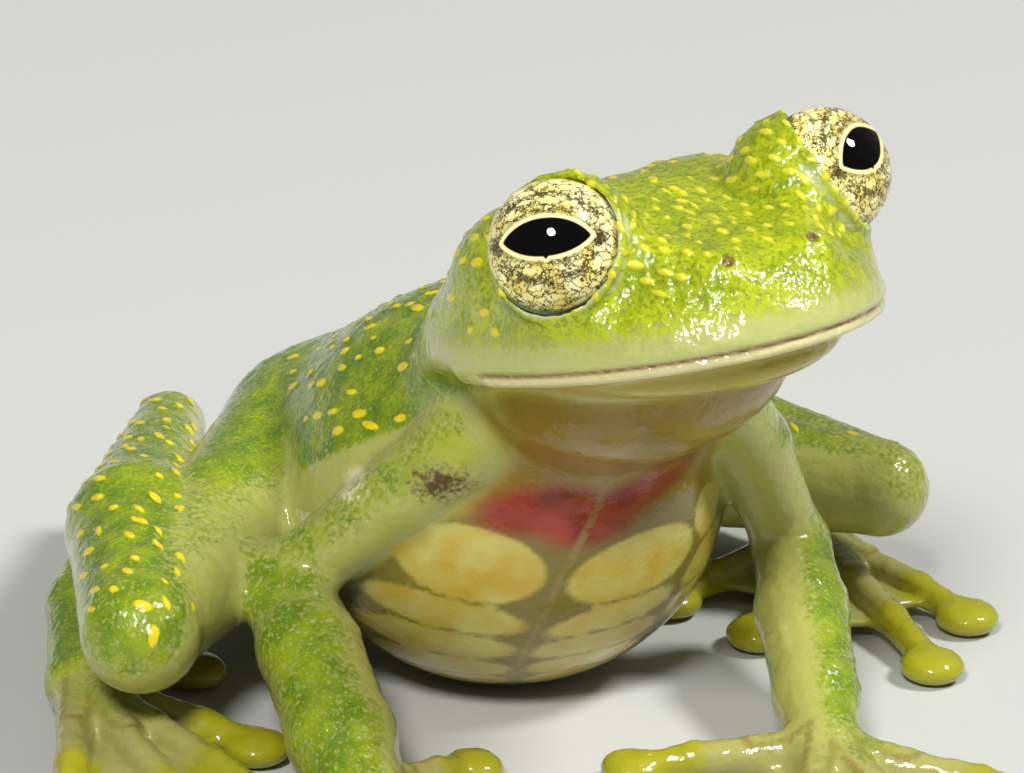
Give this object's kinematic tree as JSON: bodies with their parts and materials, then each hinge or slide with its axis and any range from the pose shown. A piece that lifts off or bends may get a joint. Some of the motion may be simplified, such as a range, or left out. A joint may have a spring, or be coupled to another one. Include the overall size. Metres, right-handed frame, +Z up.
{
  "type": "glass frog model",
  "caption": "Life-size still museum model of a glass frog sitting on the floor, head raised, with bulging eyes, folded hind legs and padded toes.",
  "frame": {"origin": "middle of the frog's box on the floor, under the belly", "axes": "-Y the way the frog faces, +X the frog's left, +Z up"},
  "size_m": [0.027, 0.0276, 0.0159],
  "materials": {
    "green_skin": "moist, finely granular, lime green with yellow flecks",
    "pale_skin": "moist, translucent yellow green",
    "cream_skin": "moist, cream",
    "foot_skin": "moist, pale",
    "toe_skin": "moist, yellow",
    "eye": "wet gloss, pale gold iris with a black pupil"
  },
  "bodies": {
    "root": {"eye_left": "eye", "eye_right": "eye", "finger_1_left": "toe_skin", "finger_1_right": "toe_skin", "finger_2_left": "toe_skin", "finger_2_right": "toe_skin", "finger_3_left": "toe_skin", "finger_3_right": "toe_skin", "finger_4_left": "toe_skin", "finger_4_right": "toe_skin", "foot_left": "foot_skin", "foot_right": "foot_skin", "forearm_left": "green_skin", "forearm_right": "green_skin", "hand_left": "foot_skin", "hand_right": "foot_skin", "head": "green_skin", "lower_jaw": "cream_skin", "shank_left": "green_skin", "shank_right": "green_skin", "tarsus_left": "pale_skin", "tarsus_right": "pale_skin", "thigh_left": "pale_skin", "thigh_right": "pale_skin", "toe_1_left": "toe_skin", "toe_1_right": "toe_skin", "toe_2_left": "toe_skin", "toe_2_right": "toe_skin", "toe_3_left": "toe_skin", "toe_3_right": "toe_skin", "toe_4_left": "toe_skin", "toe_4_right": "toe_skin", "toe_5_left": "toe_skin", "toe_5_right": "toe_skin", "trunk": "green_skin", "upper_arm_left": "pale_skin", "upper_arm_right": "pale_skin"}
  },
  "joints": []
}
